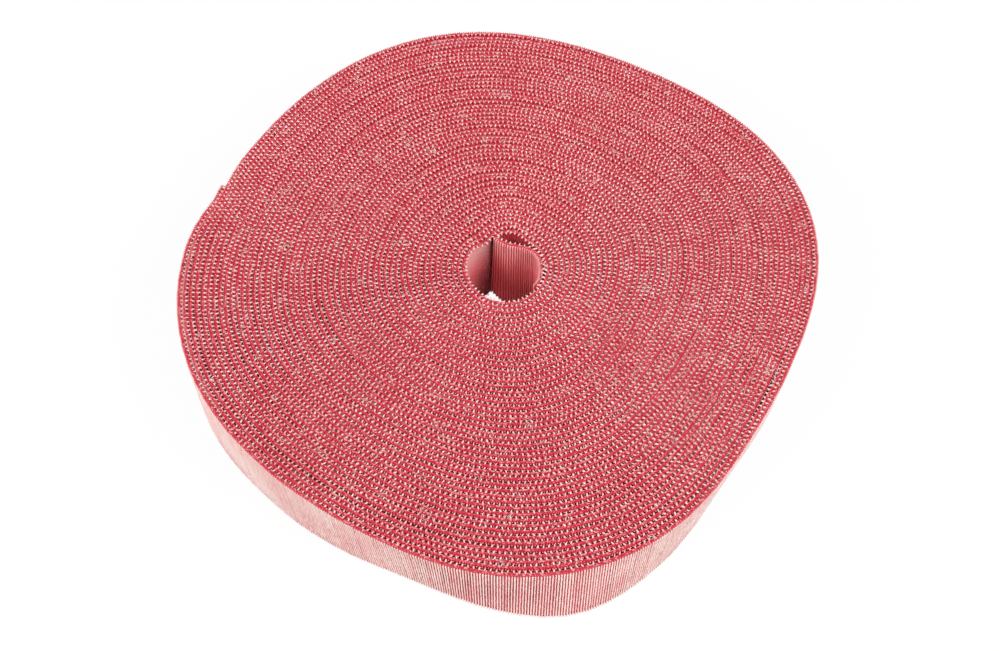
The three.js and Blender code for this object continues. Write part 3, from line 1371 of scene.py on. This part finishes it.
@dataclass
class StrayFibres:
    """Pale loose fibres that lie on the upper edges of the turns."""

    path: TapePath
    finish: Material
    tufts: int = 240
    fibres_per_tuft: int = 4
    steps: int = 5
    radius: float = 0.06 * MM
    tip_share: float = 0.3
    lengths: Span = (0.7 * MM, 2.3 * MM)
    roll_share: Span = (0.01, 0.98)
    curl: float = 1.6
    bow: float = 0.35 * MM
    bow_share: Span = (0.3, 1.0)
    section: tuple[Span, ...] = ((0.0, 1.0), (-0.87, -0.5), (0.87, -0.5))

    def build(self) -> None:
        """Build all fibres as one piece that rides on the roll."""
        random = source(Stream.FIBRES)
        turn = np.sqrt(random.uniform(*self.roll_share, self.tufts)) * self.path.plan.link_turn(0)
        along = np.array([self.path.at_turn(value) for value in turn])
        roots = np.repeat(self.path.middle(along, self.path.plan.tape.width), self.fibres_per_tuft, axis=0)
        count = len(roots)
        heading = random.uniform(0.0, math.tau, count)
        curl = random.uniform(-self.curl, self.curl, count)
        stride = random.uniform(*self.lengths, count)[:, None] / self.steps
        share = np.linspace(0.0, 1.0, self.steps + 1)
        turned = heading[:, None] + curl[:, None] * share
        plan_x = np.cumsum(np.cos(turned) * stride, axis=1)
        plan_y = np.cumsum(np.sin(turned) * stride, axis=1)
        rise = self.bow * np.sin(math.pi * share) * random.uniform(*self.bow_share, (count, 1))
        line = roots[:, None, :] + np.stack((plan_x, plan_y, rise), axis=2)
        level = np.column_stack((-np.sin(heading), np.cos(heading), np.zeros(count)))
        up = np.array([0.0, 0.0, 1.0])
        spokes = np.stack([aside * level + over * up for aside, over in self.section], axis=1)
        girth = self.radius * np.where((share == 0.0) | (share == 1.0), self.tip_share, 1.0)
        points = line[:, :, None, :] + girth[None, :, None, None] * spokes[:, None]
        corners = len(self.section)
        size = corners * len(share)
        faces = [*tube(len(share), corners), (0, 1, 2), (size - 1, size - 2, size - 3)]
        tone = np.repeat(random.uniform(0.0, 1.0, count), size)
        grid = np.meshgrid(share, np.linspace(0.0, 1.0, corners), indexing="ij")
        local = np.stack(grid, axis=2).reshape(-1, 2)
        maps = {WEAVE_MAP: np.column_stack((tone, np.ones(count * size))), BAKE_MAP: map_cells(local, count)}
        plan = MeshPlan(points.reshape(-1, 3), copy_faces(faces, count, size), maps)
        piece = plan.build("stray_fibres", [self.finish])
        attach(piece, "roll")


@dataclass(frozen=True)
class PhotoCamera:
    """The camera at the photograph's viewing angle."""

    aside: float = 0.33 * MM
    back: float = 170.3 * MM
    height: float = 272.3 * MM
    tilt: float = 31.5
    lens_mm: float = 41.44
    sensor_mm: float = 36.0
    nearest: float = 1.0 * MM

    def build(self) -> None:
        """Create the camera and make it the scene's own."""
        data = bpy.data.cameras.new("photo_camera")
        data.lens = self.lens_mm
        data.sensor_width = self.sensor_mm
        data.sensor_fit = "HORIZONTAL"
        data.clip_start = self.nearest
        camera = bpy.data.objects.new("photo_camera", data)
        camera.location = (self.aside, -self.back, self.height)
        camera.rotation_euler = (math.radians(self.tilt), 0.0, 0.0)
        bpy.context.scene.collection.objects.link(camera)
        bpy.context.scene.camera = camera


@dataclass(frozen=True)
class SoftLamp:
    """A large soft lamp: its place, its side and its power in watts."""

    name: str
    place: Point
    side: float
    watts: float

    def build(self) -> None:
        """Create the lamp, aimed at the roll."""
        data = bpy.data.lights.new(self.name, "AREA")
        data.shape = "SQUARE"
        data.size = self.side
        data.energy = self.watts
        lamp = bpy.data.objects.new(self.name, data)
        lamp.location = self.place
        aside, back, height = self.place
        lamp.rotation_euler = (math.atan2(math.hypot(aside, back), height), 0.0, math.atan2(aside, -back))
        bpy.context.scene.collection.objects.link(lamp)


@dataclass(frozen=True)
class Studio:
    """A white floor under soft studio light."""

    floor_side: float = 6.0
    floor_colour: Colour = (250, 250, 250)
    floor_glow: float = 0.93
    surround: float = 0.38
    lamps: tuple[SoftLamp, ...] = (
        SoftLamp("left_lamp", (-0.85, -0.55, 0.80), 0.6, 7.8),
        SoftLamp("right_lamp", (0.85, -0.40, 0.85), 0.6, 7.7),
        SoftLamp("top_lamp", (0.10, -0.25, 1.20), 0.6, 2.6),
    )

    def build(self) -> None:
        """Set up the view, the surround, the lamps and the floor."""
        bpy.context.scene.view_settings.view_transform = "Standard"
        self.build_surround()
        for lamp in self.lamps:
            lamp.build()
        self.build_floor()

    @staticmethod
    def seen_directly(sketch: NodeSketch) -> Socket:
        """Tell the rays that show the background as it is from those that light the object.

        Args:
            sketch: Sketch of the tree that asks.

        Returns:
            An output that is 1 for rays that show the background, and 0 for the others.
        """
        path = sketch.add("ShaderNodeLightPath").outputs
        shown = sketch.math("MAXIMUM", path["Is Camera Ray"], path["Is Glossy Ray"])
        return sketch.math("MAXIMUM", shown, path["Is Transmission Ray"])

    def build_surround(self) -> None:
        """Make the world: white where it is seen, and a soft even light elsewhere."""
        world = bpy.data.worlds.new("studio_surround")
        world.use_nodes = True
        bpy.context.scene.world = world
        sketch = NodeSketch(world.node_tree)
        level = sketch.math("MULTIPLY_ADD", self.seen_directly(sketch), 1.0 - self.surround, self.surround)
        glow = sketch.add("ShaderNodeBackground", {"Color": linear(WHITE), "Strength": level})
        sketch.add("ShaderNodeOutputWorld", {"Surface": glow.outputs["Background"]})

    def build_floor(self) -> None:
        """Lay the floor, which is near white where it is seen and keeps the roll's shadow."""
        half = 0.5 * self.floor_side
        mesh = bpy.data.meshes.new("floor")
        corners = [(-half, -half, 0.0), (half, -half, 0.0), (half, half, 0.0), (-half, half, 0.0)]
        mesh.from_pydata(corners, [], [(0, 1, 2, 3)])
        floor = bpy.data.objects.new("floor", mesh)
        bpy.context.scene.collection.objects.link(floor)
        material = bpy.data.materials.new("floor_white")
        material.use_nodes = True
        mesh.materials.append(material)
        sketch = NodeSketch(material.node_tree)
        matt = sketch.add("ShaderNodeBsdfDiffuse", {"Color": linear(self.floor_colour)})
        glow = sketch.add("ShaderNodeEmission", {"Color": linear(WHITE)})
        share = sketch.math("MULTIPLY", self.seen_directly(sketch), self.floor_glow)
        inputs = {"Fac": share, 1: matt.outputs["BSDF"], 2: glow.outputs["Emission"]}
        mixer = sketch.add("ShaderNodeMixShader", inputs)
        sketch.add("ShaderNodeOutputMaterial", {"Surface": mixer.outputs["Shader"]})


def main() -> None:
    """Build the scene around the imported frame."""
    logging.basicConfig(level=logging.INFO, format="%(message)s")
    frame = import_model()
    PhotoCamera().build()
    Studio().build()
    hinges = {joint["name"]: tuple(joint["pos_m"]) for joint in frame["joints"]}
    path = TapePath(RollPlan(TapeSizes()))
    finishes = Finishes(path)
    maker = TapeMaker(path, finishes)
    Winding(maker).build()
    FreeEnd(maker, hinges).build()
    InnerTail(maker, hinges["tail_bend"]).build()
    StrayFibres(path, finishes.fibres).build()
    LOG.info("tape: %.2f m", path.length)


if __name__ == "__main__":
    main()
